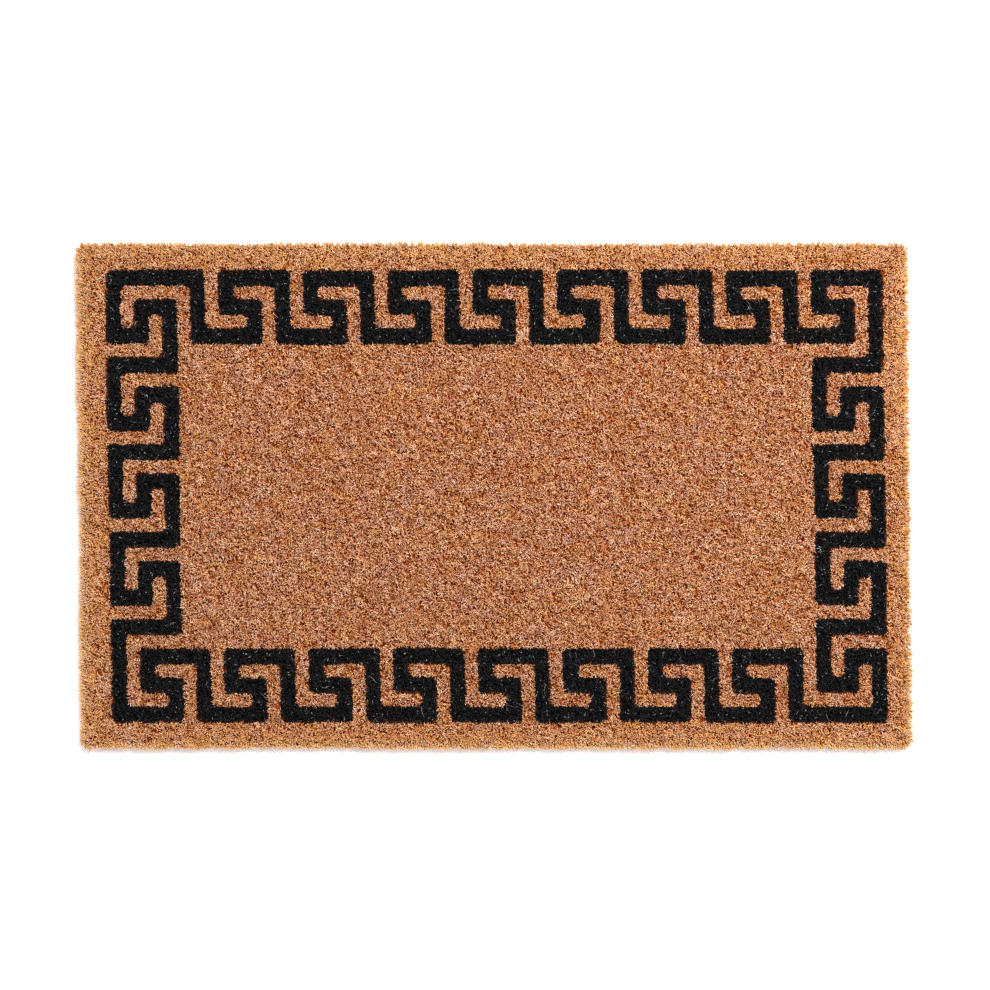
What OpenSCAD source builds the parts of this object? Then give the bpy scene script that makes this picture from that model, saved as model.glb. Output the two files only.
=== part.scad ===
// Door mat: cut coir pile fused into a vinyl backing, with a Greek-key border dyed black.
// +X runs along the long side, +Y along the short side, +Z up.
// The origin is the centre of the underside, where the mat lies on the floor.

/* [Mat] */
// Length of the backing along X
mat_length = 711; // [700:1:900]
// Depth of the backing along Y
mat_depth = 432; // [410:1:600]
// Total height, from the floor to the sheared tips of the pile
mat_height = 15; // [8:0.5:24]
// Thickness of the vinyl backing
back_thickness = 3; // [1.5:0.1:5]
// Lean of the two short edges, in degrees: the sheet is cut by hand, a little out of square
cut_lean = 0.55; // [0:0.05:1.5]

/* [Greek key] */
// Key repeats counted along each long side
repeats_long = 9; // [3:1:9]
// Key repeats counted along each short side
repeats_short = 5; // [3:1:5]
// Grid step along X: the key line turns every two, four or six steps
step_x = 12.13; // [8:0.01:12.4]
// Grid step along Y
step_y = 12.52; // [8:0.01:13.2]
// Width of the undyed slot between two runs of the key line
slot_width = 11; // [6:0.5:14]
// Print placed off centre towards +X
print_shift_x = 2; // [-4:0.1:4]
// Print placed off centre towards +Y
print_shift_y = -0.1; // [-4:0.1:4]
// Lean of the print's short sides, in degrees, from the stencil being laid by hand
print_lean = 0.88; // [0:0.02:1.5]

/* [Hidden] */

// One repeat of the key is six grid steps long and four deep
repeat_steps = 6;
columns = repeat_steps * repeats_long;
rows = repeat_steps * repeats_short;

// Two steps hold one run of the line and one slot, so the line takes what the slot leaves
line_w = 2 * step_x - slot_width;
line_d = 2 * step_y - slot_width;

// Centre line of the key, as [column, row] from the far left corner, rows counted towards -Y.
// A hook down a short side, and the same hook turned for a long side
side_hook = [[0, 4], [2, 4], [2, 2], [4, 2], [4, 6], [0, 6]];
long_hook = [[4, 0], [4, -2], [2, -2], [2, -4], [6, -4], [6, 0]];

// Half of the loop: down the left side, round the corner, and along the near side
half_line = concat(
    [[0, 0]],
    [for (k = [0 : repeats_short - 2], p = side_hook) p + [0, repeat_steps * k]],
    [[0, rows]],
    [for (k = [0 : repeats_long - 2], p = long_hook) p + [repeat_steps * k, rows]]
);

// The other half is the same line turned by 180 degrees, which closes the loop
key_line = concat(half_line, [for (p = half_line) [columns, rows] - p]);

// Shifts a point sideways in proportion to its y, so that upright lines lean
function lean(p, angle) = [p.x - p.y * tan(angle), p.y];

// Outward direction of the straight that runs from grid point a to grid point b
function outward(a, b) = [sign(a.y - b.y), sign(a.x - b.x)];

// Corner i of the key line, moved half the line's width out (side = 1) or in (side = -1)
function key_corner(i, side) =
    let (
        count = len(key_line),
        here = key_line[i],
        before = key_line[(i + count - 1) % count],
        after = key_line[(i + 1) % count],
        out = outward(before, here) + outward(here, after),
        x = (here.x - columns / 2) * step_x + side * out.x * line_w / 2,
        y = (rows / 2 - here.y) * step_y + side * out.y * line_d / 2
    )
    lean([x, y], print_lean) + [print_shift_x, print_shift_y];

// Outline of the sheet, cut with its short edges leaning
module sheet_outline() {
    x = mat_length / 2;
    y = mat_depth / 2;
    polygon([for (p = [[-x, -y], [x, -y], [x, y], [-x, y]]) lean(p, cut_lean)]);
}

// Everything enclosed by the outer (side = 1) or the inner (side = -1) edge of the key line
module key_outline(side) {
    polygon([for (i = [0 : len(key_line) - 1]) key_corner(i, side)]);
}

// Raises a flat shape from the top of the backing to the tips of the pile
module pile() {
    translate([0, 0, back_thickness])
        linear_extrude(mat_height - back_thickness)
            children();
}

// Vinyl sheet that holds the roots of the fibres and lies on the floor
module vinyl_back() {
    color([0.09, 0.085, 0.08])
        linear_extrude(back_thickness)
            sheet_outline();
}

// Undyed pile between the cut edge and the key, with the slots that open outwards
module margin_pile() {
    color([0.76, 0.49, 0.31])
        pile()
            difference() {
                sheet_outline();
                key_outline(1);
            }
}

// Pile dyed black: one unbroken line round the mat
module key_pile() {
    color([0.11, 0.105, 0.10])
        pile()
            difference() {
                key_outline(1);
                key_outline(-1);
            }
}

// Undyed pile inside the key, with the slots that open inwards
module field_pile() {
    color([0.68, 0.44, 0.30])
        pile()
            key_outline(-1);
}

vinyl_back();
margin_pile();
key_pile();
field_pile();
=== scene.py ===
import math

import bmesh
import bpy
import numpy as np
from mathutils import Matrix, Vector


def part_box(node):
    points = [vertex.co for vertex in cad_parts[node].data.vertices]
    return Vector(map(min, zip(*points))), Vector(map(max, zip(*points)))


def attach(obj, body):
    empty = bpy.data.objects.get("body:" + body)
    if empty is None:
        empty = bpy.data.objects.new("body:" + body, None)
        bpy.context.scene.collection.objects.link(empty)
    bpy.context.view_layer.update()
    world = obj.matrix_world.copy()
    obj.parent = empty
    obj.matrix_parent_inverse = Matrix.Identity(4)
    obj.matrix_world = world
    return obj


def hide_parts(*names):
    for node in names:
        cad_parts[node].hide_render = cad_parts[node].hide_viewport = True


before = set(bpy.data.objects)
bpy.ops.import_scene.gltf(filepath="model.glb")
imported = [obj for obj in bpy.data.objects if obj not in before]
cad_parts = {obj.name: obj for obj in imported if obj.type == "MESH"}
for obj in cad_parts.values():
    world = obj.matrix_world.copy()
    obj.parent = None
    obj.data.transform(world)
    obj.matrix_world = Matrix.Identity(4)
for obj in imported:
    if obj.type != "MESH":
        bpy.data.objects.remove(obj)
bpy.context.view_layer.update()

MM = 0.001
rng = np.random.default_rng(17)

# ---------------------------------------------------------------- what the frame says, in mm
BACK_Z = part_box("margin_pile")[0].z / MM      # top of the vinyl
TOP_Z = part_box("margin_pile")[1].z / MM       # height of the sheared tips
HALF_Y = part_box("vinyl_back")[1].y / MM


def outline(node):
    """Outline of an upright prism, as segments (x0, y0, x1, y1) in mm, from its side walls."""
    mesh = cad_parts[node].data
    mesh.calc_loop_triangles()
    co = np.empty(len(mesh.vertices) * 3)
    mesh.vertices.foreach_get("co", co)
    co = co.reshape(-1, 3) / MM
    tri = np.empty(len(mesh.loop_triangles) * 3, dtype=np.int32)
    mesh.loop_triangles.foreach_get("vertices", tri)
    corners = co[tri.reshape(-1, 3)]
    top = corners[:, :, 2] > corners[:, :, 2].max() - 0.01
    wall = top.sum(1) == 2
    return corners[wall][top[wall]].reshape(-1, 2, 3)[:, :, :2].reshape(-1, 4)


def inside(segments, x, y):
    """Even-odd test of many points against an outline."""
    order = np.argsort(y)
    x, y = x[order], y[order]
    odd = np.zeros(len(x), dtype=bool)
    for x0, y0, x1, y1 in segments:
        if y0 != y1:
            level = slice(*np.searchsorted(y, [min(y0, y1), max(y0, y1)]))
            odd[level] ^= x[level] < x0 + (y[level] - y0) * (x1 - x0) / (y1 - y0)
    result = np.empty_like(odd)
    result[order] = odd
    return result


SHEET = outline("vinyl_back")
KEY = outline("key_pile")
FIELD = outline("field_pile")

# The short edges lean: half the sheet's length along X, and how x shifts with y
upright = SHEET[np.abs(SHEET[:, 1] - SHEET[:, 3]) > 1]
right_edge = upright[upright[:, 0].argmax()]
LEAN = (right_edge[2] - right_edge[0]) / (right_edge[3] - right_edge[1])
HALF_X = (right_edge[0] + right_edge[2]) / 2

NOISE_CELLS = 256                # the noise repeats after this many features
NOISE_ORIGIN = (1000.3, 1000.7)  # keeps the middle of the mat off a cell's corner
NOISE_GAIN = 1.6                 # brings the blurred values back to about -1 to 1


def smooth_noise(x, y, size, seed, octaves=1):
    """Value noise of about -1 to 1, with features about `size` mm across."""
    total, weight, norm = np.zeros(len(x)), 1.0, 0.0
    for octave in range(octaves):
        table = np.random.default_rng(seed + octave).uniform(-1, 1, (NOISE_CELLS, NOISE_CELLS))
        u, v = x / size + NOISE_ORIGIN[0], y / size + NOISE_ORIGIN[1]
        i, j = np.floor(u).astype(int), np.floor(v).astype(int)
        fu, fv = u - i, v - j
        fu, fv = fu * fu * (3 - 2 * fu), fv * fv * (3 - 2 * fv)
        near_x, far_x = i % NOISE_CELLS, (i + 1) % NOISE_CELLS
        near_y, far_y = j % NOISE_CELLS, (j + 1) % NOISE_CELLS
        a, b = table[near_x, near_y], table[far_x, near_y]
        c, d = table[near_x, far_y], table[far_x, far_y]
        total += weight * ((a * (1 - fu) + b * fu) * (1 - fv) + (c * (1 - fu) + d * fu) * fv)
        norm += weight
        weight *= 0.5
        size *= 0.5
    return total / norm * NOISE_GAIN


# ---------------------------------------------------------------- how the pile grows, in mm
SPACING = 2.9                    # between tufts
PER_TUFT = 6.6                   # fibres in a tuft, on average
TUFT_SPREAD = 0.55               # half-width of a tuft, in spacings
RIM_SPREAD = 1.0                 # and near the cut edge, where tufts merge
JITTER = 0.2                     # how far tufts stray from their grid, in spacings
FIBRE_RADIUS = (0.22, 0.36)
CORE_Z = 7.5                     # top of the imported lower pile
CORE_INSET = 2.5                 # how far it stays inside the cut edge
CORE_RELIEF = 1.1
FOOT_DEPTH = 0.8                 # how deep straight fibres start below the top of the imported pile
BURIED = 0.1                     # how deep the edge's fibres start in the vinyl
CORE_BURIED = 0.05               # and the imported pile

EDGE = 6.0                       # distance from the cut edge within which fibres splay outwards
CROWDING = ([2.0, 3.5, EDGE + 2, EDGE + 3], [4.0, 1.9, 1.7, 1.0])   # distance, density
SHORTEST_GAP = 0.3               # nothing grows closer to the cut edge
CORNER = 2.0                     # rounding of the pile at its corners
SPLAY_LONG = 2.8                 # how far the outermost tips stand out over the long sides
SPLAY_SHORT = 3.6                # and over the short sides
SPLAY_UNEVEN = 0.25
SPLAY_DROP = 0.9                 # how much lower the outermost tips end
EDGE_WAVE = (70.0, 0.9)          # length of the waves in the fringe, and how far they reach
KNIFE_WANDER = (9.0, 0.22)       # the same for the cut through the backing

TUFT_LEAN, TIP_STRAY = 1.35, 1.9          # sideways, for a whole tuft and for one fibre
TUFT_RISE, TIP_RISE = 0.6, 0.45           # the same, upwards
RISE_LIMITS = (-1.6, 1.2)
GATHER = 0.2                     # share of the way that tips close up towards the tuft's middle
STEADIER = 0.88                  # share of the straying that the cut edge takes away

STENCIL_ROUNDING = 2.4           # how far the print's corners are rounded
STENCIL_POINTS = 7               # places that vote on whether a tip is dyed
STENCIL_WANDER = (6.0, 0.45)     # how far apart the print's edge wanders, and how far it goes
STENCIL_DRIFT = (60.0, 0.5)      # the same, for the slower waves
SPRAY_BLUR = 0.12
SEEN_BELOW_TIP = 0.15            # share of a fibre, down from its tip, that takes the dye's place

MATTED = 70_000                  # flattened strands between the tufts, before those outside are dropped
MATTED_INSET = 2.6               # how far they stay inside the cut edge
MATTED_REACH = 2.6               # how far they lean over
HAIRS = 300                      # long pale hairs lying across the pile
HAIRS_INSET = 8.0

# Tone runs from dark to pale and hue from golden to rosy, both from 0 to 1
TONE, HUE = 0.47, 0.5
FRESH = 32.0                     # width of the rim that feet seldom reach
FRESH_TONE, FRESH_HUE = 0.11, -0.45       # it is paler and more golden
FRESH_EVENNESS = 0.55            # and its tones vary less
TUFT_TONE, FIBRE_TONE = 0.15, 0.19        # how much tones vary from tuft to tuft and fibre to fibre
TUFT_HUE, FIBRE_HUE = 0.25, 0.12          # the same for hues
PATCH_HUE = (8.0, 0.28)          # size of the patches that share a hue, and how much they differ


def edge_gap(x, y):
    """How far inside the cut outline a point lies, and which way is out."""
    across = x - y * LEAN
    beyond_x, beyond_y = np.abs(across) - HALF_X + CORNER, np.abs(y) - HALF_Y + CORNER
    out = np.column_stack([beyond_x > beyond_y, beyond_x <= beyond_y]).astype(float)
    corner = (beyond_x > 0) & (beyond_y > 0)
    reach = np.hypot(beyond_x, beyond_y)
    out[corner, 0] = (beyond_x / reach)[corner]
    out[corner, 1] = (beyond_y / reach)[corner]
    distance = np.where(corner, reach, np.maximum(beyond_x, beyond_y)) - CORNER
    out *= np.column_stack([np.sign(across), np.sign(y)])
    return -distance, out


def tuft_centres():
    """A jittered triangular grid that covers the sheet."""
    row_height = SPACING * 0.866
    past_x, past_y = 8, 3
    points = []
    for k, y in enumerate(np.arange(-HALF_Y - past_y, HALF_Y + past_y, row_height)):
        x = np.arange(-HALF_X - past_x, HALF_X + past_x, SPACING) + (k % 2) * SPACING / 2
        points.append(np.column_stack([x, np.full(len(x), y)]))
    p = np.concatenate(points)
    return p + rng.normal(0, SPACING * JITTER, p.shape)


def scattered(number, margin):
    """Random places on the sheet, at least `margin` inside its cut outline."""
    lean_room = 4
    x = rng.uniform(-HALF_X - lean_room, HALF_X + lean_room, number)
    y = rng.uniform(-HALF_Y, HALF_Y, number)
    gap, _ = edge_gap(x, y)
    return np.column_stack([x, y])[gap > margin]


def wander(x, y, seed, slow_seed):
    """How far the stencil's edge is off along one axis."""
    size, amount = STENCIL_WANDER
    slow_size, slow_amount = STENCIL_DRIFT
    return smooth_noise(x, y, size, seed, 2) * amount + smooth_noise(x, y, slow_size, slow_seed) * slow_amount


def print_of(tips):
    """Which tips lie in the key, whose corners the stencil rounds, and which lie in the field."""
    n = len(tips)
    x, y = tips[:, 0], tips[:, 1]
    off_x, off_y = wander(x, y, 101, 111), wander(x, y, 202, 222)
    x = x + off_x + rng.normal(0, SPRAY_BLUR, n)
    y = y + off_y + rng.normal(0, SPRAY_BLUR, n)
    votes = np.zeros(n, dtype=int)
    first_turn = 0.3
    for turn in np.arange(STENCIL_POINTS) * 2 * math.pi / STENCIL_POINTS + first_turn:
        votes += inside(KEY, x + STENCIL_ROUNDING * math.cos(turn), y + STENCIL_ROUNDING * math.sin(turn))
    in_key = votes * 2 > STENCIL_POINTS
    return in_key, inside(FIELD, x, y) & ~in_key


# Roots: tufts crowd and merge along the cut edge
centres = tuft_centres()
centre_gap, _ = edge_gap(centres[:, 0], centres[:, 1])
owner = np.repeat(np.arange(len(centres)), rng.poisson(PER_TUFT * np.interp(centre_gap, *CROWDING)))
spread = np.where(centre_gap < EDGE, RIM_SPREAD, TUFT_SPREAD)
root = centres[owner] + rng.uniform(-1, 1, (len(owner), 2)) * spread[owner, None] * SPACING
gap, out = edge_gap(root[:, 0], root[:, 1])
keep = gap > SHORTEST_GAP
owner, root, gap, out = owner[keep], root[keep], gap[keep], out[keep]
count = len(owner)

# Tips lean with their tuft, close up a little towards its middle, and stray on their own
tuft_lean = rng.normal(0, TUFT_LEAN, (len(centres), 2))
tuft_rise = rng.normal(0, TUFT_RISE, len(centres))
splay = np.clip(1 - gap / EDGE, 0, 1)
stray = tuft_lean[owner] + GATHER * (centres[owner] - root) + rng.normal(0, TIP_STRAY, (count, 2))
stand_out = SPLAY_LONG + (SPLAY_SHORT - SPLAY_LONG) * np.abs(out[:, 0]) + rng.normal(0, SPLAY_UNEVEN, count)
stand_out += smooth_noise(root[:, 0], root[:, 1], EDGE_WAVE[0], 909, 2) * EDGE_WAVE[1]
tip = root + stray * (1 - STEADIER * splay)[:, None] + out * (splay * stand_out)[:, None]
rise = np.clip(tuft_rise[owner] + rng.normal(0, TIP_RISE, count), *RISE_LIMITS)
at_edge = gap < EDGE
base = np.column_stack([root, np.where(at_edge, BACK_Z - BURIED, CORE_Z - FOOT_DEPTH)])
end = np.column_stack([tip, TOP_Z + rise - SPLAY_DROP * splay])
in_key, in_field = print_of(tip - SEEN_BELOW_TIP * (tip - root))
in_margin = ~(in_key | in_field)

# Colour: each tuft has its own tone and hue, and each fibre strays from them
tuft_tone = rng.normal(0, TUFT_TONE, len(centres))
tuft_hue = rng.normal(0, TUFT_HUE, len(centres))
fresh = np.clip(1 - gap / FRESH, 0, 1)
uneven = (tuft_tone[owner] + rng.normal(0, FIBRE_TONE, count)) * (1 - FRESH_EVENNESS * fresh)
tone = np.clip(TONE + FRESH_TONE * fresh + uneven, 0, 1)
patch_hue = smooth_noise(root[:, 0], root[:, 1], PATCH_HUE[0], 606, 2) * PATCH_HUE[1]
hue = HUE + FRESH_HUE * fresh + patch_hue + tuft_hue[owner] + rng.normal(0, FIBRE_HUE, count)
hue = np.clip(hue, 0, 1)


# ---------------------------------------------------------------- meshes
SIDES = 3                        # of a strand
TAPER = 0.75                     # a tip's radius over a root's
CELL_BORDER = 0.1                # share of a strand's UV cell left empty on each side


def new_object(name, mesh, material):
    """Adds a mesh to the scene."""
    obj = bpy.data.objects.new(name, mesh)
    bpy.context.scene.collection.objects.link(obj)
    mesh.materials.append(material)
    return obj


def strands(name, strand, painted_shade_foot, material):
    """Closed strands through their points (strand, ring, xyz), each in its own cell of the UV square.

    The material reads each strand's tone, its hue and the height along it, which runs from the given foot
    value at the root to 1 at the tip; the lower the height, the more painted shade darkens the strand.
    """
    points, radius = strand["points"], strand["radius"]
    n, rings = points.shape[:2]
    axis = points[:, -1] - points[:, 0]
    axis /= np.linalg.norm(axis, axis=1, keepdims=True)
    u = np.cross(axis, np.where(np.abs(axis[:, :1]) > 0.9, [[0.0, 1.0, 0.0]], [[1.0, 0.0, 0.0]]))
    u /= np.linalg.norm(u, axis=1, keepdims=True)
    v = np.cross(axis, u)
    turn = rng.uniform(0, 2 * math.pi, n)[:, None] + np.arange(SIDES) * 2 * math.pi / SIDES
    ring = np.cos(turn)[:, :, None] * u[:, None, :] + np.sin(turn)[:, :, None] * v[:, None, :]
    size = np.linspace(1.0, TAPER, rings)[None, :, None, None] * radius[:, None, None, None]
    verts = (points[:, :, None, :] + ring[:, None, :, :] * size).reshape(-1, 3) * MM

    corner, face_size, uv = [], [], []
    for level in range(rings - 1):
        for s in range(SIDES):
            t = (s + 1) % SIDES
            lower, upper = level * SIDES, (level + 1) * SIDES
            corner += [lower + s, lower + t, upper + t, upper + s]
            face_size.append(4)
            left, right = s / SIDES, (s + 1) / SIDES
            low, high = level / (rings - 1), (level + 1) / (rings - 1)
            uv += [(left, low), (right, low), (right, high), (left, high)]
    corner += [(rings - 1) * SIDES + s for s in range(SIDES)]
    corner += list(reversed(range(SIDES)))
    face_size += [SIDES, SIDES]
    # Each cap lies over the end of the sides' area that has its colour
    uv += [(0.1, 0.98), (0.9, 0.98), (0.5, 0.88)]
    uv += [(0.1, 0.02), (0.9, 0.02), (0.5, 0.12)]

    loops = (np.arange(n)[:, None] * rings * SIDES + np.array(corner)[None, :]).ravel()
    first = np.concatenate([[0], np.cumsum(face_size)[:-1]])
    starts = (np.arange(n)[:, None] * len(corner) + first[None, :]).ravel()
    mesh = bpy.data.meshes.new(name)
    mesh.vertices.add(len(verts))
    mesh.vertices.foreach_set("co", verts.astype(np.float32).ravel())
    mesh.loops.add(len(loops))
    mesh.loops.foreach_set("vertex_index", loops.astype(np.int32))
    mesh.polygons.add(n * len(face_size))
    mesh.polygons.foreach_set("loop_start", starts.astype(np.int32))
    mesh.polygons.foreach_set("loop_total", np.tile(face_size, n).astype(np.int32))
    across = math.ceil(math.sqrt(n))
    cell = np.column_stack([np.arange(n) % across, np.arange(n) // across]) / across
    local = (np.array(uv) * (1 - 2 * CELL_BORDER) + CELL_BORDER) / across
    layer = mesh.uv_layers.new(name="OFBake")
    layer.data.foreach_set("uv", (cell[:, None, :] + local[None, :, :]).astype(np.float32).ravel())
    data = np.empty((n, rings * SIDES, 3))
    data[:, :, 0] = strand["tone"][:, None]
    data[:, :, 1] = np.repeat(np.linspace(painted_shade_foot, 1, rings), SIDES)[None, :]
    data[:, :, 2] = strand["hue"][:, None]
    attribute = mesh.attributes.new("coir", "FLOAT_VECTOR", "POINT")
    attribute.data.foreach_set("vector", data.astype(np.float32).ravel())
    mesh.update()
    mesh.validate()
    return new_object(name, mesh, material)


def block(name, step, inset, relief, flat_z, material):
    """A closed block with the sheet's outline: relief(x, y) gives one face, and the other is flat.

    Its `dye` attribute says where the key is printed on it.
    """
    nx, ny = int(2 * HALF_X / step), int(2 * HALF_Y / step)
    X, Y = np.meshgrid(np.linspace(-HALF_X + inset, HALF_X - inset, nx + 1),
                       np.linspace(-HALF_Y + inset, HALF_Y - inset, ny + 1))
    x, y = X.ravel(), Y.ravel()
    z = relief(x, y)
    grid = np.arange(len(x)).reshape(ny + 1, nx + 1)
    a, b, c, d = grid[:-1, :-1].ravel(), grid[:-1, 1:].ravel(), grid[1:, 1:].ravel(), grid[1:, :-1].ravel()
    rim = np.concatenate([grid[0, :], grid[1:, -1], grid[-1, :-1][::-1], grid[1:-1, 0][::-1]])
    cut = smooth_noise(x[rim], y[rim], KNIFE_WANDER[0], 404, 2) * KNIFE_WANDER[1]
    x[rim] -= np.sign(x[rim]) * np.abs(cut)
    y[rim] -= np.sign(y[rim]) * np.abs(cut)
    x = x + y * LEAN
    verts = np.concatenate([
        np.column_stack([x, y, z]),
        np.column_stack([x[rim], y[rim], np.full(len(rim), flat_z)]),
    ]) * MM
    under = len(x) + np.arange(len(rim))
    faces = np.column_stack([a, b, c, d]).tolist()
    faces += np.column_stack([rim, under, np.roll(under, -1), np.roll(rim, -1)]).tolist()
    faces.append(under[::-1].tolist())
    if z.mean() < flat_z:
        faces = [face[::-1] for face in faces]
    mesh = bpy.data.meshes.new(name)
    mesh.from_pydata(verts.tolist(), [], faces)
    dye = np.concatenate([inside(KEY, x, y), np.zeros(len(rim), dtype=bool)]).astype(np.float32)
    attribute = mesh.attributes.new("dye", "FLOAT", "POINT")
    attribute.data.foreach_set("value", dye)
    mesh.update()
    return new_object(name, mesh, material)


# ---------------------------------------------------------------- materials
def new_material(name, roughness, specular):
    """A plain material, with what is needed to add to it."""
    material = bpy.data.materials.new(name)
    material.use_nodes = True
    nodes, links = material.node_tree.nodes, material.node_tree.links
    shader = nodes["Principled BSDF"]
    shader.inputs["Roughness"].default_value = roughness
    shader.inputs["Specular IOR Level"].default_value = specular
    return material, nodes, links, shader


def ramp(nodes, links, source, stops):
    """Turns a value into a colour."""
    node = nodes.new("ShaderNodeValToRGB")
    elements = node.color_ramp.elements
    while len(elements) < len(stops):
        elements.new(0.5)
    for element, (position, colour) in zip(elements, stops):
        element.position = position
        element.color = (*colour, 1)
    links.new(source, node.inputs[0])
    return node.outputs["Color"]


def map_range(nodes, links, source, low, high, to_low, to_high):
    """Maps low..high to to_low..to_high and holds the value there beyond."""
    node = nodes.new("ShaderNodeMapRange")
    for key, value in (("From Min", low), ("From Max", high), ("To Min", to_low), ("To Max", to_high)):
        node.inputs[key].default_value = value
    links.new(source, node.inputs["Value"])
    return node.outputs["Result"]


def noise(nodes, links, scale, detail=2.0):
    """Noise with `scale` features to a metre."""
    geometry = nodes.new("ShaderNodeNewGeometry")
    node = nodes.new("ShaderNodeTexNoise")
    node.inputs["Scale"].default_value = scale
    node.inputs["Detail"].default_value = detail
    links.new(geometry.outputs["Position"], node.inputs["Vector"])
    return node.outputs["Fac"]


def mixed(nodes, links, factor, first, second):
    """Mixes two colours, of which the second may be plain numbers."""
    node = nodes.new("ShaderNodeMix")
    node.data_type = "RGBA"
    links.new(factor, node.inputs[0])
    links.new(first, node.inputs[6])
    if isinstance(second, tuple):
        node.inputs[7].default_value = (*second, 1)
    else:
        links.new(second, node.inputs[7])
    return node.outputs[2]


def coir_material(name, golden, rosy, root_shade_colour, roughness, specular):
    """A strand's tone and hue pick its colour from two ramps; it darkens towards its root as painted shade of
    the deep pile, and is streaked.
    """
    material, nodes, links, shader = new_material(name, roughness, specular)
    attribute = nodes.new("ShaderNodeAttribute")
    attribute.attribute_name = "coir"
    parts = nodes.new("ShaderNodeSeparateXYZ")
    links.new(attribute.outputs["Vector"], parts.inputs[0])
    tones = mixed(nodes, links, parts.outputs["Z"],
                  ramp(nodes, links, parts.outputs["X"], golden),
                  ramp(nodes, links, parts.outputs["X"], rosy))
    # Painted shade: the colour runs towards the root's shade colour as the height along the strand drops
    painted_root_shade = map_range(nodes, links, parts.outputs["Y"], low=0.3, high=0.95, to_low=1.0, to_high=0.0)
    root_shaded = mixed(nodes, links, painted_root_shade, tones, root_shade_colour)
    grain = noise(nodes, links, scale=900.0)
    streaks = map_range(nodes, links, grain, low=0.3, high=0.7, to_low=0.82, to_high=1.12)
    shade = nodes.new("ShaderNodeVectorMath")
    shade.operation = "SCALE"
    links.new(root_shaded, shade.inputs[0])
    links.new(streaks, shade.inputs["Scale"])
    links.new(shade.outputs["Vector"], shader.inputs["Base Color"])
    return material


GOLDEN = [
    (0.00, (0.285, 0.098, 0.012)),
    (0.25, (0.388, 0.159, 0.034)),
    (0.50, (0.502, 0.248, 0.075)),
    (0.75, (0.622, 0.366, 0.155)),
    (1.00, (0.750, 0.540, 0.305)),
]
ROSY = [
    (0.00, (0.230, 0.086, 0.047)),
    (0.25, (0.335, 0.162, 0.097)),
    (0.50, (0.455, 0.268, 0.192)),
    (0.75, (0.575, 0.400, 0.315)),
    (1.00, (0.710, 0.580, 0.510)),
]
DYED = [
    (0.00, (0.0040, 0.0043, 0.0056)),
    (0.92, (0.0105, 0.0110, 0.0130)),
    (0.97, (0.0330, 0.0380, 0.0460)),
    (1.00, (0.3200, 0.3100, 0.3000)),
]
DYED_WARM = [
    (0.00, (0.0050, 0.0040, 0.0044)),
    (0.92, (0.0135, 0.0110, 0.0115)),
    (0.97, (0.0420, 0.0360, 0.0320)),
    (1.00, (0.3400, 0.2700, 0.2200)),
]
# Colours that the strands darken to at their roots: painted shade of the deep pile
ROOT_SHADE = (0.46, 0.090, 0.007)
DYED_ROOT_SHADE = (0.006, 0.006, 0.006)
margin_coir = coir_material("coir_margin", GOLDEN, ROSY, ROOT_SHADE, roughness=0.6, specular=0.10)
field_coir = coir_material("coir_field", GOLDEN, ROSY, ROOT_SHADE, roughness=0.6, specular=0.10)
black_coir = coir_material("coir_black", DYED, DYED_WARM, DYED_ROOT_SHADE, roughness=0.5, specular=0.08)


def core_material():
    """Packed roots, red-brown darkened as painted shade of the deep pile, and black where the spray went
    down.
    """
    material, nodes, links, shader = new_material("coir_core", roughness=0.9, specular=0.05)
    dyed = nodes.new("ShaderNodeAttribute")
    dyed.attribute_name = "dye"
    lumps = noise(nodes, links, scale=1100.0, detail=4.0)
    # Painted shade: the lower pile's coir is made far darker than the strands, for the shade deep between the
    # tufts
    shaded_brown = ramp(nodes, links, lumps, [(0.35, (0.120, 0.018, 0.0012)), (0.65, (0.300, 0.060, 0.004))])
    colour = mixed(nodes, links, dyed.outputs["Fac"], shaded_brown, (0.005, 0.005, 0.005))
    links.new(colour, shader.inputs["Base Color"])
    return material


def vinyl_material():
    """Matt black vinyl with a fine pebbled skin and faint clouds of dust."""
    material, nodes, links, shader = new_material("vinyl", roughness=0.72, specular=0.3)
    grain = noise(nodes, links, scale=700.0, detail=3.0)
    clouds = noise(nodes, links, scale=45.0, detail=6.0)
    shade = ramp(nodes, links, grain, [(0.35, (0.0060, 0.0058, 0.0056)), (0.7, (0.0240, 0.0230, 0.0220))])
    dust = map_range(nodes, links, clouds, low=0.5, high=0.75, to_low=0.0, to_high=0.35)
    colour = mixed(nodes, links, dust, shade, (0.045, 0.040, 0.034))
    links.new(colour, shader.inputs["Base Color"])
    bump = nodes.new("ShaderNodeBump")
    bump.inputs["Strength"].default_value = 0.9
    bump.inputs["Distance"].default_value = 0.0006
    links.new(grain, bump.inputs["Height"])
    links.new(bump.outputs["Normal"], shader.inputs["Normal"])
    return material


# ---------------------------------------------------------------- the pieces
MOST_TRIANGLES = 195_000         # in one piece of pile


def place(obj, slot, *nodes):
    """Fixes a piece to the mat, which is one body, and hides the CAD nodes it stands in for."""
    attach(obj, "root")
    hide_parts(*nodes)
    return obj


def plant(label, chosen, strand, material, node, slot, painted_shade_foot=0.0):
    """Splits the chosen strands over as few pieces as the limit allows, each spread over the whole mat."""
    index = np.flatnonzero(chosen)
    rings = strand["points"].shape[1]
    triangles = 2 * SIDES * (rings - 1) + 2
    parts = max(1, math.ceil(len(index) * triangles / MOST_TRIANGLES))
    for k in range(parts):
        part = {key: value[index[k::parts]] for key, value in strand.items()}
        place(strands(f"{label}_{k + 1}", part, painted_shade_foot, material), slot, node)


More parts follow.
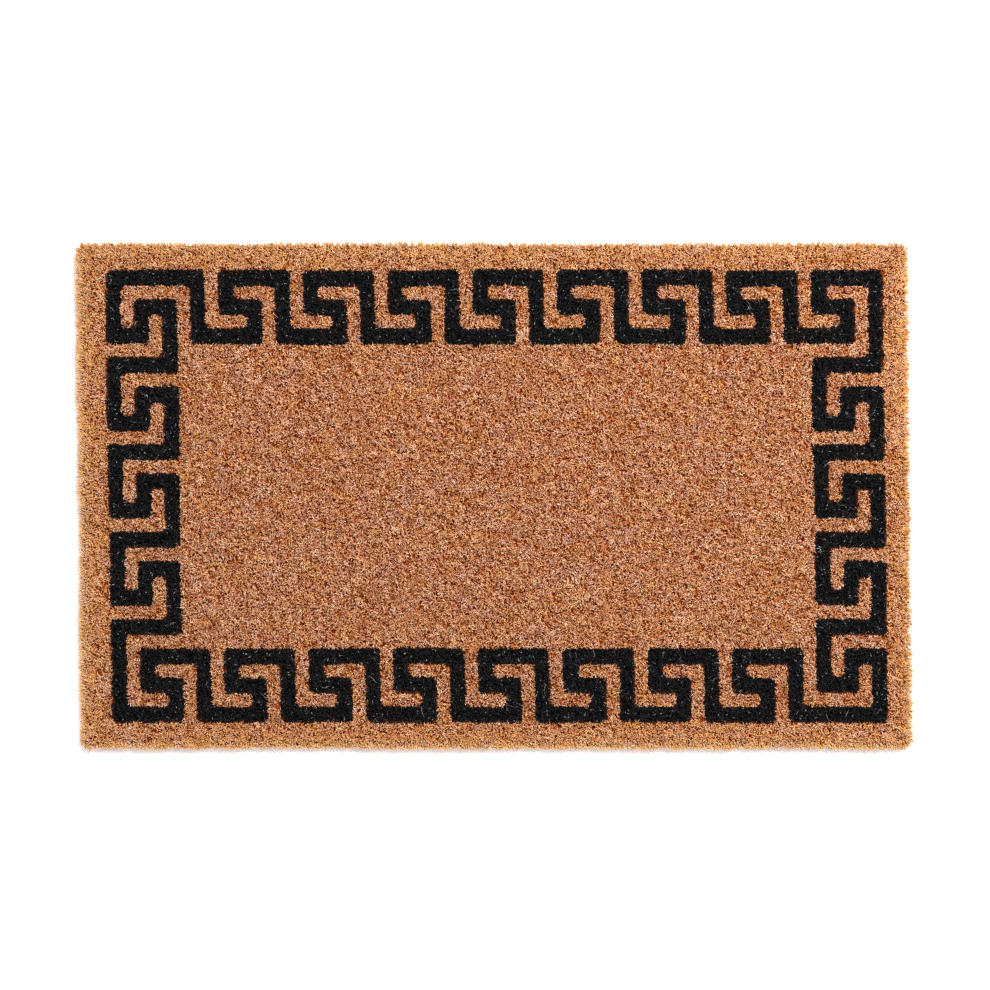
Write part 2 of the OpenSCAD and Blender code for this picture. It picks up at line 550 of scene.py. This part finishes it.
def pile_fibres():
    """The cut fibres: straight ones over the sheet, and bent ones that splay along its edge."""
    straight = {
        "points": np.stack([base, end], axis=1),
        "radius": rng.uniform(*FIBRE_RADIUS, count),
        "tone": tone,
        "hue": hue,
    }
    dyed = dict(straight, tone=rng.uniform(0, 1, count))
    bend_share, bend_stray, bend_back = 0.55, 0.35, 0.5
    bend = base + (end - base) * bend_share
    bend[:, :2] += rng.normal(0, bend_stray, (count, 2)) - out * (splay * bend_back)[:, None]
    bent = dict(straight, points=np.stack([base, bend, end], axis=1))
    plant("margin_fibres", in_margin & ~at_edge, straight, margin_coir, "margin_pile", "coir_margin")
    # The edge's fibres start higher up the shade ramp, so they take less painted shade at their roots, as
    # their sides face the light
    plant("edge_fibres", in_margin & at_edge, bent, margin_coir, "margin_pile", "coir_margin", painted_shade_foot=0.55)
    plant("key_fibres", in_key, dyed, black_coir, "key_pile", "coir_black")
    plant("field_fibres", in_field, straight, field_coir, "field_pile", "coir_field")


def matted_strands():
    """Flattened strands that close the gaps between the tufts, made darker than the cut tips as painted shade
    of the lower pile.
    """
    spot = scattered(MATTED, MATTED_INSET)
    n = len(spot)
    spot_gap, _ = edge_gap(spot[:, 0], spot[:, 1])
    spot_fresh = np.clip(1 - spot_gap / FRESH, 0, 1)
    start = np.column_stack([spot, np.full(n, CORE_Z - 0.6)])
    over = rng.normal(0, MATTED_REACH, (n, 2))
    finish = np.column_stack([spot + over, CORE_Z + rng.uniform(2.5, 4.8, n) + spot_fresh])
    strand = {
        "points": np.stack([start, finish], axis=1),
        "radius": rng.uniform(0.32, 0.46, n),
        # A low tone: painted shade of the lower pile
        "tone": np.clip(rng.normal(0.26, 0.14, n), 0, 1),
        "hue": rng.uniform(0, 1, n),
    }
    black, field = print_of(finish)
    strand["tone"] += 0.2 * spot_fresh
    plant("margin_matted", ~(black | field), strand, margin_coir, "margin_pile", "coir_margin")
    plant("key_matted", black, strand, black_coir, "key_pile", "coir_black")
    plant("field_matted", field, strand, field_coir, "field_pile", "coir_field")


def hairs():
    """Long pale hairs caught on top of the pile, which the spray missed."""
    middle = scattered(HAIRS, HAIRS_INSET)
    n = len(middle)
    angle, length = rng.uniform(0, math.pi, n), rng.uniform(3.5, 10.0, n)
    half = np.column_stack([np.cos(angle), np.sin(angle)]) * length[:, None] / 2
    bow = half[:, ::-1] * [-1, 1] * rng.normal(0, 0.18, n)[:, None]
    height = TOP_Z + rng.uniform(0.0, 0.5, n)
    drop = rng.uniform(0.6, 2.0, n)
    points = np.stack([
        np.column_stack([middle - half, height - drop]),
        np.column_stack([middle + bow, height]),
        np.column_stack([middle + half, height - drop * rng.uniform(0.2, 1, n)]),
    ], axis=1)
    strand = {
        "points": points,
        "radius": rng.uniform(0.07, 0.13, n),
        "tone": rng.uniform(0.6, 1.0, n),
        "hue": rng.uniform(0, 1, n),
    }
    black, _ = print_of(middle)
    plant("hairs", ~black, strand, margin_coir, "margin_pile", "coir_margin", painted_shade_foot=0.95)
    undyed = dict(strand, tone=rng.uniform(0.975, 1.0, n))        # the pale end of the dyed ramps
    plant("key_hairs", black, undyed, black_coir, "key_pile", "coir_black", painted_shade_foot=0.95)


def packed_top(x, y):
    """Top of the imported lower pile, lumpy at the size of a tuft."""
    return CORE_Z + smooth_noise(x, y, 2.6, 303, 2) * CORE_RELIEF


def underside(x, y):
    """Underside of the vinyl, up to about 0.3 mm off the floor in its hollows."""
    return np.abs(smooth_noise(x, y, 12.0, 505, 2)) * 0.3


pile_fibres()
matted_strands()
hairs()
core = block("pile_core", step=2.2, inset=CORE_INSET, relief=packed_top,
             flat_z=BACK_Z - CORE_BURIED, material=core_material())
place(core, "coir_margin", "margin_pile", "key_pile", "field_pile")

vinyl = block("vinyl_sheet", step=4.0, inset=0.0, relief=underside, flat_z=BACK_Z, material=vinyl_material())
place(vinyl, "vinyl", "vinyl_back")

# ---------------------------------------------------------------- stage
scene = bpy.context.scene


def floor(half_width, grey, below):
    """A matt floor just below the mat, so that no two faces share a plane."""
    mesh = bpy.data.meshes.new("floor")
    shape = bmesh.new()
    bmesh.ops.create_grid(shape, x_segments=8, y_segments=8, size=half_width)
    shape.to_mesh(mesh)
    shape.free()
    material, _, _, shader = new_material("floor", roughness=0.9, specular=0.2)
    shader.inputs["Base Color"].default_value = (grey, grey, grey, 1)
    obj = new_object("floor", mesh, material)
    obj.location.z = -below


def softbox(name, where, size, power):
    """A square light that faces the mat."""
    data = bpy.data.lights.new(name, "AREA")
    data.shape = "SQUARE"
    data.size = size
    data.energy = power
    obj = bpy.data.objects.new(name, data)
    obj.location = where
    obj.rotation_euler = (-Vector(where)).to_track_quat("-Z", "Y").to_euler()
    scene.collection.objects.link(obj)


def studio(strength):
    """Even white light from all round."""
    world = bpy.data.worlds.new("studio")
    world.use_nodes = True
    background = world.node_tree.nodes["Background"]
    background.inputs["Color"].default_value = (1, 1, 1, 1)
    background.inputs["Strength"].default_value = strength
    scene.world = world


def overhead_camera(x, y, distance, width):
    """Looks straight down; `width` metres of the tips' plane fill the frame."""
    data = bpy.data.cameras.new("camera")
    data.sensor_width = 36
    data.lens = data.sensor_width * (distance - TOP_Z * MM) / width
    camera = bpy.data.objects.new("camera", data)
    camera.location = (x, y, distance)
    scene.collection.objects.link(camera)
    scene.camera = camera


floor(half_width=10.0, grey=0.92, below=0.0002)
studio(strength=1.03)
softbox("key_light", where=(0.8, 1.1, 2.0), size=1.7, power=203)
overhead_camera(x=0.0003, y=0.0007, distance=2.4, width=0.8507)
scene.view_settings.view_transform = "Standard"
scene.cycles.use_denoising = False   # the denoiser smears single fibres
